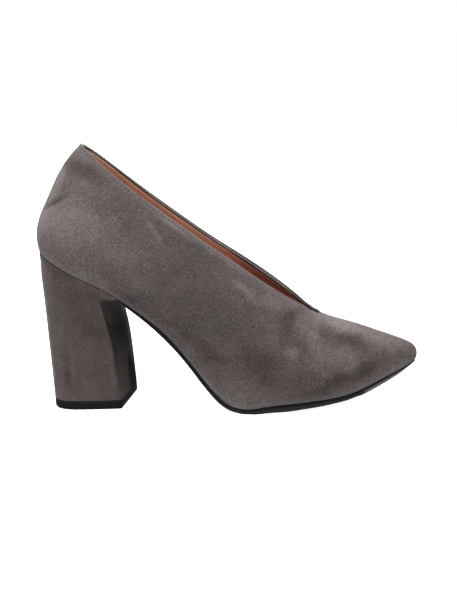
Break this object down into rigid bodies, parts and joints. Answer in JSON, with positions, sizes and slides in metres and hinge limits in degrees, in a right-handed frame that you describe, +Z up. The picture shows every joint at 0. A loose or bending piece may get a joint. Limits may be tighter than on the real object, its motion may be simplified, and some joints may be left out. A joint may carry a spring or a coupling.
{
  "type": "suede block-heel pump",
  "caption": "Right-foot grey suede pump with a V-cut front, pointed toe, tall suede-covered block heel, thin black sole and open foot space.",
  "frame": {"origin": "on the floor under the middle of the shoe's bounding box", "axes": "+X from heel to toe, +Y to the inner (big-toe) side of the right foot, +Z up"},
  "size_m": [0.2252, 0.0736, 0.1563],
  "materials": {
    "suede": "matt brushed suede, warm mid grey",
    "sock_leather": "smooth tan-brown lining leather",
    "sole": "satin black sheet sole",
    "heel_suede": "suede wrapped over a moulded block",
    "top_piece_rubber": "matt black rubber"
  },
  "bodies": {
    "root": {"upper": "suede", "insole": "sock_leather", "outsole": "sole", "heel": "heel_suede", "heel_top_piece": "top_piece_rubber"}
  },
  "joints": []
}
